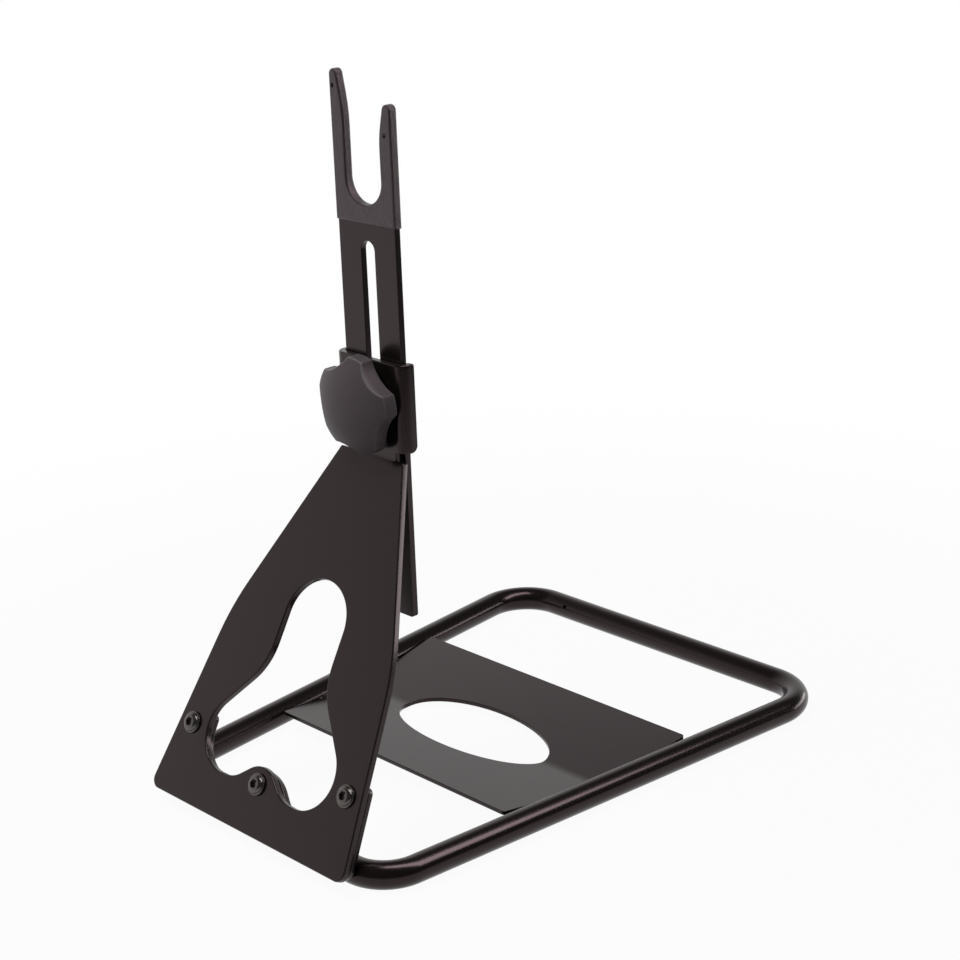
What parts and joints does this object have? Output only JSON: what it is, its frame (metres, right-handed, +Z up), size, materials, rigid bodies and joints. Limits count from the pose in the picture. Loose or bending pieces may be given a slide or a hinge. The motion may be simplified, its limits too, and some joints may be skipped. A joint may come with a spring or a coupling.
{
  "type": "bike parking stand",
  "caption": "Floor stand for a bicycle wheel: tube loop base, dipped cross plate with an oval tyre hole, leaning windowed plate and a height-adjustable fork clamped by a star knob.",
  "frame": {"origin": "on the floor, at the centre of the bounding box", "axes": "+Z up, -Y towards the front of the leaning plate and the knob, X along the parked wheel with +X to the right seen from the front"},
  "size_m": [0.2736, 0.368, 0.4204],
  "materials": {
    "powder_coat": "satin black powder coat",
    "blackened_steel": "blackened, slightly glossy",
    "dipped_vinyl": "matt black, fine grain",
    "zinc_steel": "bright zinc plate",
    "knob_plastic": "matt black",
    "insert_brass": "plain"
  },
  "bodies": {
    "frame": {"base_tube": "powder_coat", "cross_plate": "powder_coat", "cross_plate_weld_left": "powder_coat", "cross_plate_weld_right": "powder_coat", "rear_bracket": "powder_coat", "bracket_weld": "powder_coat", "front_plate": "powder_coat", "plate_screw_left": "blackened_steel", "plate_screw_middle": "blackened_steel", "plate_screw_right": "blackened_steel", "plate_washer_left": "blackened_steel", "plate_washer_middle": "blackened_steel", "plate_washer_right": "blackened_steel", "plate_nut_left": "blackened_steel", "plate_nut_middle": "blackened_steel", "plate_nut_right": "blackened_steel", "knob_washer": "zinc_steel"},
    "arm": {"sliding_arm": "powder_coat", "fork_coating": "dipped_vinyl"},
    "clamp_bolt": {"clamp_bolt": "zinc_steel"},
    "knob": {"knob_body": "knob_plastic", "knob_insert": "insert_brass"}
  },
  "joints": [
    {"name": "arm_slide", "type": "slide", "parent": "frame", "child": "arm", "axis": [0, 0, 1], "range_m": [-0.075, 0.09]},
    {"name": "knob_turn", "type": "hinge", "parent": "frame", "child": "knob", "pos_m": [0, -0.074, 0.2372], "axis": [0, -1, 0], "range_deg": [0, 540]},
    {"name": "bolt_float", "type": "slide", "parent": "frame", "child": "clamp_bolt", "axis": [0, 1, 0], "range_m": [0, 0.0023]}
  ],
  "couplings": [
    {"joint": "bolt_float", "follows": "knob_turn", "m_per_rad": 0.00023873}
  ]
}
